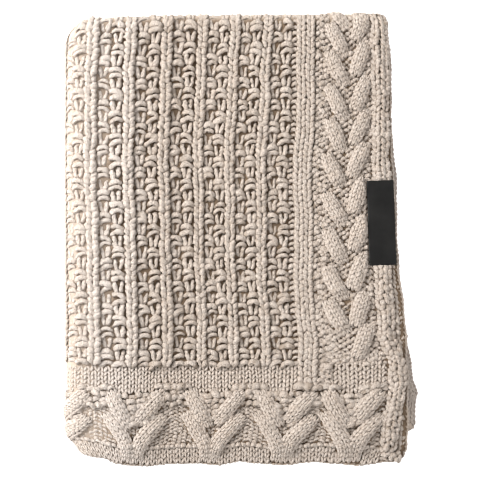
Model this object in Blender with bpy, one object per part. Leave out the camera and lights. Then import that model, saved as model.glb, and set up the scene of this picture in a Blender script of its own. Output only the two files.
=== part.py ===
"""Knitted baby blanket, folded in four, with a small woven label on its right edge.

Metres, Z up. The blanket lies on Z = 0, Y is its folded length and X its folded width. The sheet is about
0.75 m by 0.99 m. It is folded over the top edge first and then over the left edge, so that four layers lie
on one another. The front layer carries the raised cables and ribs of the knit.
"""

import math

import bpy
import mathutils
import numpy as np

MM = 0.001

# Cloth and stack
HALF_CLOTH = 2.6 * MM  # half the thickness of the knit between its raised parts
PAIR_BEND = 3.8 * MM  # from the middle of a pair of layers to the middle of each
PAIR_HALF = PAIR_BEND + HALF_CLOTH
PAIR_GAP = 2.4 * MM  # between the upper and the lower pair, along the right side
LOW_Z = PAIR_HALF
HIGH_Z = 3 * PAIR_HALF + PAIR_GAP
LOFT_Z = LOW_Z + 26.0 * MM  # height of the upper pair where it leaves the left fold
LOFT_RUN = 120.0 * MM  # width over which it sinks to its normal height
FOLD_LONG = 20.0 * MM  # the left fold is half an ellipse, this long
LEFT_X = -194.2 * MM
RIGHT_X = 162.3 * MM
TOP_C = 240.3 * MM  # where the top fold starts to turn
HEM_C = -246.5 * MM
CENTRE_Y = 1.1 * MM

# Outlines as they lie, X then Y or Y then X
FRONT_TOP = (
    (-194, 246.0), (-160, 245.5), (-110, 246.0), (-68, 248.5), (64, 249.3), (150, 249.8), (166, 248.5),
)
FRONT_HEM = (
    (-194, -236.0), (-161, -238.6), (-145, -242.6), (-123, -246.5), (-100, -247.8), (-76, -246.4),
    (-57, -245.9), (-24, -247.5), (-2, -243.3), (25, -247.1), (45, -248.1), (79, -243.8),
    (118, -249.4), (145, -245.7), (177, -244.2),
)
FRONT_RIGHT = (
    (-244, 177.0), (-232, 181.0), (-177, 181.7), (-155, 182.6), (-117, 180.4), (-89, 178.0),
    (-29, 171.4), (43, 166.7), (158, 162.3), (197, 162.3), (234, 159.0), (249, 152.4),
)
UNDER_RIGHT = (
    (-211, 192.5), (-202, 194.2), (-194, 192.0), (-185, 189.2), (-166, 187.0), (-144, 185.9),
    (-128, 183.7), (-89, 179.3), (-56, 174.9), (10, 171.9), (65, 170.5), (103, 167.8),
    (142, 165.0), (228, 164.5), (234, 161.5),
)
UNDER_TOP_DROP = 14.5 * MM  # at the right, the lower pair's fold stays this much below the front's
UNDER_HEM_LEFT = -238.0 * MM
UNDER_HEM_RIGHT = -211.0 * MM
CORNER_TOP = ((204, 0.0), (215, 0.8), (223, 2.5), (230, 4.5), (240, 7.0), (246, 8.0))
CORNER_DROP = (
    (-194, 19.0), (-190, 14.0), (-185, 8.3), (-180, 5.6), (-170, 2.9), (-160, 1.4), (-140, 0.4), (-120, 0.0),
)
CORNER_HEM = ((-246, 24.0), (-238, 17.0), (-228, 8.5), (-216, 2.5), (-205, 0.0))
CORNER_REACH = 75.0 * MM
OVERHANG_DROP = 6.0 * MM  # the front pair sinks this much where nothing lies below its hem

# Knit: places of the ribs and cables on the front, and how far they stand up
SPINES = (-276.3, -238.9, -201.5, -164.1, -123.2, -85.0, -47.3, -12.9, 21.7, 57.6)
SPINE_HALF, SPINE_RISE = 6.3 * MM, 3.0 * MM
BESIDE_SPINE = ((0.335, 1.3 * MM, 1), (0.665, 1.7 * MM, -1))  # share of the gap, height, turn of the bumps
BUMP_PITCH, BUMP_START = 25.0 * MM, 22.8 * MM
FIELD_LOW = -138.0 * MM
RIB_X, RIB_HALF, RIB_RISE = 67.8 * MM, 10.4 * MM, 2.9 * MM
PLAIT_LEFT_TOPS = (272.0, 238.5, 207.0, 168.5, 133.0, 94.5, 52.0, 12.0, -28.5, -66.0, -103.0)
PLAIT_RIGHT_TOPS = (257.0, 219.0, 179.5, 142.0, 105.5, 67.0, 25.5, -16.5, -57.0, -92.5)
PLAIT_LEFT = ((92.0, 0.0), (99.0, -19.0), (108.5, -41.0))  # X, and Y from the strand's top
PLAIT_RIGHT = ((134.8, 0.0), (127.1, -18.7), (120.5, -37.5))
PLAIT_HALF, PLAIT_RISE = 8.8 * MM, 4.4 * MM
WAVE_VALLEYS = (-203.0, -118.3, -32.5, 46.2, 120.5)
WAVE_ARMS = (  # X from the valley, and Y
    ((-22.0, -172.7), (-13.2, -189.2), (-4.4, -206.8)),
    ((3.3, -200.2), (16.5, -187.0), (30.8, -172.7)),
    ((-29.7, -190.3), (-18.7, -206.8), (-9.9, -223.3), (-9.9, -245.3)),
    ((2.2, -243.0), (3.3, -227.7), (17.6, -210.0), (33.0, -193.6)),
)
WAVE_HALF, WAVE_RISE = 7.8 * MM, 3.8 * MM
BORDER = (
    (-249, 169.0), (-232, 161.4), (-209, 162.3), (-183, 167.8), (-159, 172.2), (-142, 171.7),
    (-129, 168.3), (-109, 159.0), (-67, 156.2), (43, 153.5), (158, 151.8), (300, 151.8),
)
BORDER_HALF, BORDER_RISE = 9.3 * MM, 3.2 * MM
BOW_LEFT = (
    (222, 2.4), (185, 0.2), (147, -1.1), (73, -1.1), (35, 0.0), (-2, 0.6), (-40, 2.8), (-114, 2.9), (-152, 3.2),
)
BOW_MIDDLE = (
    (222, 8.0), (185, 4.0), (147, 3.0), (110, 0.8), (73, -0.6), (35, 0.0), (-40, 0.6), (-77, 2.2), (-114, 5.0),
)
BOW_RIB = (
    (222, 3.2), (185, 3.3), (147, 2.7), (110, 1.1), (73, -0.8), (35, 0.0), (-40, 0.6), (-77, 1.6), (-114, 5.2),
)

# Label
LABEL_X, LABEL_Y = 153.9 * MM, 17.8 * MM
LABEL_WIDTH, LABEL_LENGTH, LABEL_THICK = 29.6 * MM, 93.0 * MM, 1.0 * MM
LABEL_TURN = math.radians(2.0)
LABEL_LIFT = 3.5 * MM
LABEL_ROLL = 0.9 * MM

for old in list(bpy.data.objects):
    bpy.data.objects.remove(old)


def smooth(t):
    t = np.clip(t, 0.0, 1.0)
    return t * t * (3.0 - 2.0 * t)


def follow(value, table):
    """Reads a table of millimetre pairs at a value in metres."""
    rows = sorted(table)
    return np.interp(value, [r[0] * MM for r in rows], [r[1] * MM for r in rows])


def left_fold():
    """The middle of a pair as it runs from the lower right round the left fold to the upper right."""
    rise = (LOFT_Z - LOW_Z) / 2
    start = LEFT_X + PAIR_HALF + 1.5 * MM + FOLD_LONG
    lower = np.arange(start + 0.45, start, -0.5 * MM)
    turn = np.linspace(-math.pi / 2, -3 * math.pi / 2, 241)
    upper = np.arange(start + 0.5 * MM, start + 0.45, 0.5 * MM)
    sink = smooth((upper - start - 4 * MM) / LOFT_RUN)
    xs = np.concatenate([lower, start + FOLD_LONG * np.cos(turn), upper])
    zs = np.concatenate(
        [np.full(len(lower), LOW_Z), LOW_Z + rise + rise * np.sin(turn), LOFT_Z + (HIGH_Z - LOFT_Z) * sink]
    )
    run = np.concatenate([[0.0], np.cumsum(np.hypot(np.diff(xs), np.diff(zs)))])
    run -= run[len(lower) + 120]
    along = np.stack([np.gradient(xs, run), np.gradient(zs, run)])
    along /= np.hypot(*along)
    low_end, high_start = run[len(lower)], run[len(lower) + 240]
    return run, xs, zs, -along[1], along[0], low_end, high_start


RUN, RUN_X, RUN_Z, NORMAL_X, NORMAL_Z, LOW_END, HIGH_START = left_fold()
SEEN = RUN_X + NORMAL_X * PAIR_HALF
ABOVE = RUN >= 0
TIP_SEEN = SEEN[ABOVE][0]


def seen_x(u):
    """X at which the front shows the cloth at u, carried on at full width round the fold."""
    return np.where(u >= 0, np.interp(u, RUN[ABOVE], SEEN[ABOVE]), TIP_SEEN + u)


def warp(x, y, under, inner):
    """Where a point of the plain folded sheet really lies, for the pair (under) and the layer (inner)."""
    span = smooth((x - 30 * MM) / (RIGHT_X - 30 * MM))
    front = follow(y, FRONT_RIGHT) - 4 * MM * inner
    below = follow(y, UNDER_RIGHT) - 3 * MM * (1 - inner)
    new_x = x + ((1 - under) * front + under * below - RIGHT_X) * span
    across = np.clip((x - LEFT_X) / (RIGHT_X - LEFT_X), 0, 1.1)
    lip = 6.5 * MM * inner * np.exp(-(((x + 148 * MM) / (22 * MM)) ** 2))
    top = follow(x, FRONT_TOP) - (TOP_C + PAIR_HALF + 2.4 * MM) - under * UNDER_TOP_DROP * across
    hem_front = follow(x, FRONT_HEM) + 3.5 * MM * inner - lip
    hem_below = UNDER_HEM_LEFT + (UNDER_HEM_RIGHT - UNDER_HEM_LEFT) * across + 2 * MM * (1 - inner)
    hem = (1 - under) * hem_front + under * hem_below - HEM_C
    new_y = y + top * smooth((y - 40 * MM) / (200 * MM)) + hem * smooth((-y - 60 * MM) / (180 * MM))
    new_y = new_y - follow(x, CORNER_DROP) * smooth((y - 120 * MM) / (120 * MM))
    near = 1 - smooth((x - LEFT_X) / CORNER_REACH)
    new_x = new_x + (follow(new_y, CORNER_TOP) + follow(new_y, CORNER_HEM)) * near
    return new_x, new_y


def sheet_point(x, y, steps=14):
    """The plain sheet's point that lies at x, y on the front layer."""
    plain_x, plain_y = x.copy(), y.copy()
    for _ in range(steps):
        got_x, got_y = warp(plain_x, plain_y, 0.0, 0.0)
        plain_x += x - got_x
        plain_y += y - got_y
    return np.interp(plain_x, SEEN[ABOVE], RUN[ABOVE]), plain_y


def lean(x, y):
    """How far to the right an upright column stands at y, from its place x at half height."""
    left, middle, rib = follow(y, BOW_LEFT), follow(y, BOW_MIDDLE), follow(y, BOW_RIB)
    share = np.clip((x + 123.2 * MM) / (144.9 * MM), 0, 1)
    late = np.clip((x - 21.7 * MM) / (41.0 * MM), 0, 1)
    return (left + (middle - left) * share) * (1 - late) + rib * late


def strand(x, y, path, start_x, start_y, half, rise):
    """The rise of a round strand along a path of millimetre points, counted from its start."""
    found = np.zeros_like(x)
    for (ax, ay), (bx, by) in zip(path, path[1:]):
        ax, ay, bx, by = (v * MM for v in (start_x + ax, start_y + ay, start_x + bx, start_y + by))
        t = np.clip(((x - ax) * (bx - ax) + (y - ay) * (by - ay)) / ((bx - ax) ** 2 + (by - ay) ** 2), 0, 1)
        away = np.hypot(x - ax - t * (bx - ax), y - ay - t * (by - ay)) / half
        found = np.maximum(found, rise * np.sqrt(np.clip(1 - away**2, 0, 1)))
    return found


def knit_rise(x, y):
    """How far the knit stands above its ground at x, y of the front."""
    bowed = x - lean(x, y)
    phase = 2 * math.pi * (y - BUMP_START) / BUMP_PITCH
    field = np.zeros_like(x)
    for left, right in zip(SPINES, SPINES[1:]):
        left, gap = left * MM, (right - left) * MM
        field = np.maximum(field, SPINE_RISE * np.clip(1 - ((bowed - left) / SPINE_HALF) ** 2, 0, 1))
        for share, low, turn in BESIDE_SPINE:
            bump = low + 1.1 * MM * turn * np.cos(phase)
            field = np.maximum(field, bump * np.clip(1 - ((bowed - left) / gap - share) ** 2 / 0.03, 0, 1))
    field *= (bowed < 57 * MM) & (y > FIELD_LOW)
    rib = RIB_RISE * np.clip(1 - ((bowed - RIB_X) / RIB_HALF) ** 4, 0, 1) * (y > FIELD_LOW - 20 * MM)
    rise = np.maximum(field, rib)
    plait = np.zeros_like(x)
    for path, tops in ((PLAIT_LEFT, PLAIT_LEFT_TOPS), (PLAIT_RIGHT, PLAIT_RIGHT_TOPS)):
        for top in tops:
            plait = np.maximum(plait, strand(bowed, y, path, 0.0, top, PLAIT_HALF, PLAIT_RISE))
    rise = np.maximum(rise, plait * smooth((y - FIELD_LOW) / (12 * MM)))
    for valley in WAVE_VALLEYS:
        for path in WAVE_ARMS:
            rise = np.maximum(rise, strand(x, y, path, valley, 0.0, WAVE_HALF, WAVE_RISE))
    rise = np.maximum(rise, 0.9 * MM * ((y < FIELD_LOW) & (y > -161 * MM)))
    rise = np.maximum(rise, 1.1 * MM * (y < -231 * MM))
    beside = x - follow(y, BORDER)
    rise = rise * (1 - 0.75 * smooth((beside + 16.5 * MM) / (2.5 * MM)))
    border = BORDER_RISE * np.sqrt(np.clip(1 - (beside / BORDER_HALF) ** 2, 0, 1))
    chain = 1.6 * MM * np.clip(1 - ((x - follow(y, FRONT_RIGHT) + 3.5 * MM) / (3.5 * MM)) ** 2, 0, 1)
    return np.maximum(np.maximum(rise, border), chain)


def folded(u, c, out, raised):
    """World points of the sheet at u across and c along, out from its middle towards its right side."""
    turn = np.clip((c - TOP_C) / PAIR_BEND, 0, math.pi)
    past = np.maximum(c - TOP_C - math.pi * PAIR_BEND, 0)
    under = smooth((20 * MM - u) / (70 * MM))
    inner = smooth(turn / math.pi)
    if raised:
        plain_y = np.where(c < TOP_C + 20 * MM, c, TOP_C + 20 * MM)
        at_x, at_y = warp(seen_x(u), plain_y, 0.0, 0.0)
        shown = smooth((u - LOW_END * 0.9) / (-LOW_END * 0.9)) * smooth((TOP_C + 16 * MM - c) / (8 * MM))
        out = out + knit_rise(at_x, at_y) * shown
    plain_y = np.minimum(c, TOP_C) - past + np.sin(turn) * (PAIR_BEND + out)
    off = np.cos(turn) * (PAIR_BEND + out)
    plain_x = np.interp(u, RUN, RUN_X) + np.interp(u, RUN, NORMAL_X) * off
    z = np.interp(u, RUN, RUN_Z) + np.interp(u, RUN, NORMAL_Z) * off
    x, y = warp(plain_x, plain_y, under, inner)
    lift = smooth((u - HIGH_START) / (80 * MM))
    across = (x - LEFT_X) / (RIGHT_X - LEFT_X)
    beyond = UNDER_HEM_LEFT + (UNDER_HEM_RIGHT - UNDER_HEM_LEFT) * across - y
    z = z - OVERHANG_DROP * lift * smooth((beyond - 1 * MM) / (36 * MM))
    puff = 0.5 + 0.5 * np.sin(x / (47 * MM) + 1.0) * np.sin(y / (61 * MM) - 0.6)
    z = z + 1.6 * MM * lift * puff
    return np.stack([x, y - CENTRE_Y, z], axis=1)


def spaced(first, last, step):
    return np.linspace(first, last, max(2, round(abs(last - first) / step) + 1))


def grid(us, cs):
    return np.stack([a.ravel() for a in np.meshgrid(us, cs)], axis=1)


RIGHT_U = float(np.interp(RIGHT_X, RUN_X[ABOVE], RUN[ABOVE]))
LEFT_U = -float(np.interp(RIGHT_X, RUN_X[~ABOVE][::-1], -RUN[~ABOVE][::-1]))
TOP_END = TOP_C + math.pi * PAIR_BEND
HEM_END = TOP_END + TOP_C - HEM_C
TOP_TURNS = TOP_C + PAIR_BEND * np.linspace(0, math.pi, 5)
FOLD_TURNS = np.interp(np.linspace(0, 1, 9), (0, 0.5, 1), (LOW_END, 0.0, HIGH_START))


def front_columns():
    found = []
    for left, right in zip(SPINES[2:], SPINES[3:]):
        gap = right - left
        found += [left, left + 6.6, left + 0.335 * gap, left + 0.50 * gap, left + 0.665 * gap, right - 6.6]
    found = [x for x in found if -172 < x < 54]
    found += [57.5, 62.5, 67.8, 73.0, 78.5] + list(np.arange(85.5, 140.0, 6.05))
    return np.array(found) * MM


def bump_rows(low, high):
    """Heights on the front at which the field's bumps stand highest and lowest, and between them."""
    rows = np.arange(-43.5, 36) * BUMP_PITCH / 4 + BUMP_START
    return rows[(rows > low) & (rows < high)]


def front_points():
    rows = bump_rows(-136 * MM, 243 * MM)
    field = grid(front_columns(), rows)
    field[:, 0] += lean(field[:, 0], field[:, 1])
    parts = [field]
    for shift in (-9.3, -4.6, 0.0, 4.6, 9.3):
        parts.append(np.stack([follow(rows, BORDER) + shift * MM, rows], axis=1))
    low_rows = np.concatenate([[-241.0], np.arange(-234.0, -141.0, 6.6)]) * MM
    low_columns = np.arange(-168, 150, 6.9) * MM
    parts.append(grid(low_columns, low_rows))
    for shift in (-12.5, -9.3, -4.6, 0.0, 4.6, 9.3):
        parts.append(np.stack([follow(low_rows, BORDER) + shift * MM, low_rows], axis=1))
    points = np.concatenate(parts)
    u, c = sheet_point(points[:, 0], points[:, 1])
    inside = (u > HIGH_START + 2 * MM) & (u < RIGHT_U - 2.2 * MM)
    inside &= (c > HEM_C + 2.2 * MM) & (c < TOP_C - 2 * MM)
    return np.stack([u, c], axis=1)[inside]


def coarse_points(step):
    """The hidden layers and the inner side, in long steps, with every line on which the cloth turns."""
    low = spaced(LEFT_U, LOW_END, step)[1:-1]
    high = spaced(HIGH_START, RIGHT_U, step)[1:-1]
    inner = spaced(TOP_END, HEM_END, step)[1:-1]
    outer = spaced(HEM_C, TOP_C, step)[1:-1]
    return low, high, inner, outer


def thin(points, nearest=1.8 * MM):
    """Leaves out each point that lies closer to an earlier one than this."""
    kept, cells = [], {}
    for u, c in points:
        key = (int(u // nearest), int(c // nearest))
        close = False
        for i in (-1, 0, 1):
            for j in (-1, 0, 1):
                for pu, pc in cells.get((key[0] + i, key[1] + j), ()):
                    close = close or math.hypot(pu - u, pc - c) < nearest
        if not close:
            cells.setdefault(key, []).append((u, c))
            kept.append((u, c))
    return kept


def rim_points():
    """The sheet's edge, anticlockwise: both hems and the two right edges."""
    high_u = np.concatenate([FOLD_TURNS, spaced(HIGH_START, RIGHT_U, 7.5 * MM)[1:]])
    low_u = spaced(LEFT_U, LOW_END, 30 * MM)[:-1]
    hem_u = np.concatenate([low_u, high_u])
    far_u = np.concatenate([low_u, FOLD_TURNS, spaced(HIGH_START, RIGHT_U, 26 * MM)[1:]])
    outer_c = (spaced(HEM_C, TOP_C, step * MM)[:-1] for step in (9, 22))
    inner_c = (spaced(TOP_END, HEM_END, step * MM)[1:] for step in (36, 22))
    side_c, back_c = (np.concatenate([first, TOP_TURNS, last]) for first, last in zip(outer_c, inner_c))
    rim = [(u, HEM_C) for u in hem_u[:-1]]
    rim += [(RIGHT_U, c) for c in side_c[:-1]]
    rim += [(u, HEM_END) for u in far_u[:0:-1]]
    rim += [(LEFT_U, c) for c in back_c[:0:-1]]
    return rim


def triangulated(points):
    corners = [mathutils.Vector((u * 10, c * 10)) for u, c in points]
    made = mathutils.geometry.delaunay_2d_cdt(corners, [], [], 0, 1e-6)
    verts, faces = made[0], made[2]
    if len(verts) != len(points):
        raise ValueError("two points of the sheet fell together")
    order = [source[0] for source in made[3]]
    return [[order[i] for i in face] for face in faces]


def shown_rise(points):
    """The knit's rise on the right side at each u, c, as folded() adds it."""
    u, c = points.T
    at_x, at_y = warp(seen_x(u), np.minimum(c, TOP_C + 20 * MM), 0.0, 0.0)
    return knit_rise(at_x, at_y)


def along_ridges(points, faces, passes=4):
    """Turns the shared edge of two triangles where the other diagonal follows the knit more closely."""
    points = np.array(points)
    rise = shown_rise(points)
    for _ in range(passes):
        sides = {}
        for number, face in enumerate(faces):
            for k in range(3):
                sides.setdefault(frozenset((face[k], face[k - 1])), []).append((number, face[k - 2]))
        inner = [(tuple(side), both) for side, both in sides.items() if len(both) == 2]
        ends = np.array([side for side, _ in inner])
        tips = np.array([(both[0][1], both[1][1]) for _, both in inner])
        kept_miss = np.abs(shown_rise(points[ends].mean(axis=1)) - rise[ends].mean(axis=1))
        new_miss = np.abs(shown_rise(points[tips].mean(axis=1)) - rise[tips].mean(axis=1))
        a, b = points[ends[:, 0]], points[ends[:, 1]]
        c, d = points[tips[:, 0]], points[tips[:, 1]]
        first = np.cross(d - c, a - c)
        second = np.cross(d - c, b - c)
        area = np.abs(np.cross(b - a, c - a))
        clear = (first * second < 0) & (np.minimum(np.abs(first), np.abs(second)) > 0.5 * area)
        wanted = clear & (new_miss < kept_miss - 0.1 * MM)
        turned = set()
        for i in np.flatnonzero(wanted):
            (one, _), (two, _) = inner[i][1]
            if one in turned or two in turned:
                continue
            turned |= {one, two}
            (s, t), (p, q) = ends[i], tips[i]
            if np.cross(points[q] - points[p], points[s] - points[p]) < 0:
                s, t = t, s
            faces[one] = [int(p), int(q), int(s)]
            faces[two] = [int(q), int(p), int(t)]
    return faces


def solid(name, vertices, faces, colour, rough):
    mesh = bpy.data.meshes.new(name)
    mesh.from_pydata([tuple(map(float, v)) for v in vertices], [], faces)
    mesh.validate()
    node = bpy.data.objects.new(name, mesh)
    bpy.context.scene.collection.objects.link(node)
    material = bpy.data.materials.new(name)
    material.use_nodes = True
    shader = material.node_tree.nodes["Principled BSDF"]
    shader.inputs["Base Color"].default_value = (*colour, 1.0)
    shader.inputs["Roughness"].default_value = rough
    mesh.materials.append(material)
    return node


def blanket():
    rim = rim_points()
    low, high, inner, outer = coarse_points(44 * MM)
    rows = bump_rows(HEM_C + 3 * MM, TOP_C - 3 * MM)
    at_top = np.full(len(front_columns()), TOP_C)
    columns = sheet_point(front_columns() + lean(front_columns(), at_top), at_top)[0]
    columns = columns[(columns > HIGH_START + 3 * MM) & (columns < RIGHT_U - 3 * MM)]
    outside = np.concatenate(
        [
            grid(FOLD_TURNS[3:], rows),
            grid(FOLD_TURNS[:3], spaced(HEM_C, TOP_C, 24 * MM)[1:-1]),
            grid(np.concatenate([FOLD_TURNS, columns]), TOP_TURNS),
            grid(low, TOP_TURNS),
            front_points(),
            grid(np.concatenate([low, FOLD_TURNS[::2], high]), inner),
            grid(low, outer),
        ]
    )
    inside = np.concatenate(
        [
            grid(np.concatenate([low, FOLD_TURNS, high]), TOP_TURNS),
            grid(np.concatenate([low, FOLD_TURNS, high]), inner[::2]),
            grid(np.concatenate([low, FOLD_TURNS, high]), outer[::2]),
        ]
    )
    right_side = thin(rim + [tuple(p) for p in outside])
    wrong_side = thin(rim + [tuple(p) for p in inside])
    edge = len(rim)
    if right_side[:edge] != rim or wrong_side[:edge] != rim:
        raise ValueError("the rim lost a point")
    right_faces = along_ridges(right_side, triangulated(right_side))
    wrong_faces = triangulated(wrong_side)
    first = len(right_side)
    u, c = np.array(right_side).T
    top = folded(u, c, np.full(len(u), HALF_CLOTH), True)
    u, c = np.array(wrong_side).T
    bottom = folded(u, c, np.full(len(u), -HALF_CLOTH), False)
    faces = [list(face) for face in right_faces]
    faces += [[first + i for i in face[::-1]] for face in wrong_faces]
    for i in range(edge):
        j = (i + 1) % edge
        faces.append([j, i, first + i])
        faces.append([j, first + i, first + j])
    return solid("blanket", np.concatenate([top, bottom]), faces, (0.66, 0.57, 0.46), 0.95)


def label():
    """A woven strip that lies over the border's ridge, a little rolled across."""
    across = np.linspace(-0.5, 0.5, 9)
    along = np.linspace(-0.5, 0.5, 13)
    s, t = (a.ravel() for a in np.meshgrid(across, along))
    x = LABEL_X + s * LABEL_WIDTH * math.cos(LABEL_TURN) - t * LABEL_LENGTH * math.sin(LABEL_TURN)
    y = LABEL_Y + s * LABEL_WIDTH * math.sin(LABEL_TURN) + t * LABEL_LENGTH * math.cos(LABEL_TURN)
    u, c = sheet_point(x, y)
    ground = folded(u, c, np.full(len(u), HALF_CLOTH), False)[:, 2]
    roll = LABEL_ROLL * np.clip(s / 0.5, 0, 1) ** 2
    low = np.stack([x, y - CENTRE_Y, ground + LABEL_LIFT - roll], axis=1)
    high = low + (0, 0, LABEL_THICK)
    wide, many = len(across), len(low)
    faces = []
    for r in range(len(along) - 1):
        for k in range(wide - 1):
            a = r * wide + k
            quad = (a, a + 1, a + 1 + wide, a + wide)
            faces.append([many + i for i in quad])
            faces.append(list(quad[::-1]))
    rim = list(range(wide)) + [r * wide + wide - 1 for r in range(1, len(along))]
    rim += [(len(along) - 1) * wide + k for k in range(wide - 2, -1, -1)]
    rim += [r * wide for r in range(len(along) - 2, 0, -1)]
    for i, a in enumerate(rim):
        b = rim[(i + 1) % len(rim)]
        faces.append([a, b, many + b, many + a])
    return solid("label", np.concatenate([low, high]), faces, (0.012, 0.012, 0.012), 0.55)


blanket()
label()
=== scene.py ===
"""The looks of the folded knitted baby blanket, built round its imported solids. Metres, Z up."""

import math
import bpy
import numpy as np
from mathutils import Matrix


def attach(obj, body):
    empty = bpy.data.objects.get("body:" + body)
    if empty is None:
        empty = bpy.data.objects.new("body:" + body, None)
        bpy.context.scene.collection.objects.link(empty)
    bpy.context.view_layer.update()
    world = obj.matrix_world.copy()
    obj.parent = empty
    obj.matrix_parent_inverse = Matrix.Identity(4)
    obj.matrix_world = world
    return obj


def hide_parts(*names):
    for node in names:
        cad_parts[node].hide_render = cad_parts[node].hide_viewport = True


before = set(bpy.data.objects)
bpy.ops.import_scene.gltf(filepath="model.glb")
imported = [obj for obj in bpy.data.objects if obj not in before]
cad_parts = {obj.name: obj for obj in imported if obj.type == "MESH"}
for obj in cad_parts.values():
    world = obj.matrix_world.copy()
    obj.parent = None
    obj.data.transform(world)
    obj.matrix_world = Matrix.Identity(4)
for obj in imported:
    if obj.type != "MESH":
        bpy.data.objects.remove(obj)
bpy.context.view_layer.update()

# The main field: broad ribs in a repeat of three columns, in thick oatmeal yarn. A plain column stands up
# as a spine, and beside it two columns change every two rows between knit stitches and a pair of purl bars,
# half a step apart. It is knitted in one with the rest of the sheet.
MM = 0.001
ROW = 6.243 * MM
ROW_START = 22.8 * MM + ROW / 2
SPINES = (-164.1, -123.2, -85.0, -47.3, -12.9, 21.7, 57.6)
FOLD_REPEAT = 37.4 * MM
FIELD_LOW = -139.5 * MM
# A column's share of the way to the next spine and its width; then its first row of bars and its height.
SPINE_COLUMN = (0.0, 0.305)
BAR_COLUMNS = ((0.330, 0.345, 3, -0.9 * MM), (0.670, 0.350, 1, 1.1 * MM))
COLUMN_LAP = 1.02
SPINE_UP, SPINE_PLUMP = 2.7 * MM, 0.24
LEG_UP, LEG_PLUMP = -0.2 * MM, 0.185
# Both rows of bars: height, share of the column's width, plumpness and slant.
BARS = ((1.5 * MM, 1.0, 0.42, 0.16), (1.9 * MM, 0.90, 0.46, -0.12))
LAST_BAR_X, LAST_BAR_WIDE = 55.6 * MM, 7.5 * MM
BOW_LEFT_X, BOW_MIDDLE_X, BOW_RIB_X = -123.2 * MM, 21.7 * MM, 62.7 * MM
BOW_LEFT = (
    (222, 2.4), (185, 0.2), (147, -1.1), (73, -1.1), (35, 0.0), (-2, 0.6), (-40, 2.8), (-114, 2.9),
    (-152, 3.2),
)
BOW_MIDDLE = (
    (222, 8.0), (185, 4.0), (147, 3.0), (110, 0.8), (73, -0.6), (35, 0.0), (-40, 0.6), (-77, 2.2),
    (-114, 5.0),
)
BOW_RIB = (
    (222, 3.2), (185, 3.3), (147, 2.7), (110, 1.1), (73, -0.8), (35, 0.0), (-40, 0.6), (-77, 1.6),
    (-114, 5.2),
)

# The whole sheet is folded over its top edge and then over its left edge, so it lies in two pairs of layers.
# The tables give its outline in millimetres, as the front pair and the pair under it show it.
HALF_CLOTH = 2.6 * MM
PAIR_BEND = 3.8 * MM
PAIR_HALF = PAIR_BEND + HALF_CLOTH
PAIRS_APART = 2.4 * MM
LOW_Z = PAIR_HALF
HIGH_Z = 3 * PAIR_HALF + PAIRS_APART
LOFT_Z = LOW_Z + 26.0 * MM
LOFT_FLAT, LOFT_RUN = 4.0 * MM, 120.0 * MM
FOLD_LONG, FOLD_IN = 20.0 * MM, 1.5 * MM
SHEET_REACH, RUN_STEP, TURN_STEPS = 0.45, 0.5 * MM, 240
LEFT_X, RIGHT_X = -194.2 * MM, 162.3 * MM
TOP_C, HEM_C = 240.3 * MM, -246.5 * MM
KNIT_PROUD = 2.4 * MM
CENTRE_Y = 1.1 * MM
FRONT_TOP = (
    (-194, 246.0), (-160, 245.5), (-110, 246.0), (-68, 248.5), (64, 249.3), (150, 249.8), (166, 248.5),
)
FRONT_HEM = (
    (-194, -236.0), (-161, -238.6), (-145, -242.6), (-123, -246.5), (-100, -247.8), (-76, -246.4),
    (-57, -245.9), (-24, -247.5), (-2, -243.3), (25, -247.1), (45, -248.1), (79, -243.8),
    (118, -249.4), (145, -245.7), (177, -244.2),
)
FRONT_RIGHT = (
    (-244, 177.0), (-232, 181.0), (-177, 181.7), (-155, 182.6), (-117, 180.4), (-89, 178.0),
    (-29, 171.4), (43, 166.7), (158, 162.3), (197, 162.3), (234, 159.0), (249, 152.4),
)
UNDER_RIGHT = (
    (-211, 192.5), (-202, 194.2), (-194, 192.0), (-185, 189.2), (-166, 187.0), (-144, 185.9),
    (-128, 183.7), (-89, 179.3), (-56, 174.9), (10, 171.9), (65, 170.5), (103, 167.8),
    (142, 165.0), (228, 164.5), (234, 161.5),
)
UNDER_TOP_DROP = 14.5 * MM
UNDER_HEM_LEFT, UNDER_HEM_RIGHT = -238.0 * MM, -211.0 * MM
CORNER_TOP = ((204, 0.0), (215, 0.4), (223, 1.5), (230, 3.0), (240, 5.5), (246, 7.0))
CORNER_DROP = (
    (-194, 15.0), (-190, 10.5), (-185, 6.5), (-180, 4.6), (-170, 2.4), (-160, 1.2), (-140, 0.4), (-120, 0.0),
)
CORNER_HEM = ((-246, 24.0), (-238, 17.0), (-228, 8.5), (-216, 2.5), (-205, 0.0))
CORNER_REACH, CORNER_FROM, CORNER_TALL = 75.0 * MM, 200 * MM, 40 * MM
SPREAD_FROM = 30 * MM
INNER_EDGE_BACK, OUTER_EDGE_BACK = 4 * MM, 3 * MM
INNER_HEM_UP, OUTER_HEM_UP = 3.5 * MM, 2 * MM
LIP_LONG, LIP_X, LIP_WIDE = 6.5 * MM, -148 * MM, 22 * MM
TOP_FROM, TOP_REACH = 40 * MM, 200 * MM
HEM_FROM, HEM_REACH = 60 * MM, 180 * MM
UNDER_FROM, UNDER_REACH = 20 * MM, 70 * MM
LIFT_REACH = 80 * MM
OVERHANG_DROP, OVERHANG_FROM, OVERHANG_REACH = 6.0 * MM, 1 * MM, 36 * MM
PUFF_HIGH, PUFF_WIDE, PUFF_TALL = 1.6 * MM, 47 * MM, 61 * MM
UNWARP_STEPS = 14


def smooth(t):
    """A soft step: 0 below 0, 1 above 1, with no corner between."""
    t = np.clip(t, 0.0, 1.0)
    return t * t * (3.0 - 2.0 * t)


def follow(value, table):
    """Reads a table of millimetre pairs at a value in metres."""
    rows = sorted(table)
    return np.interp(value, [r[0] * MM for r in rows], [r[1] * MM for r in rows])


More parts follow.
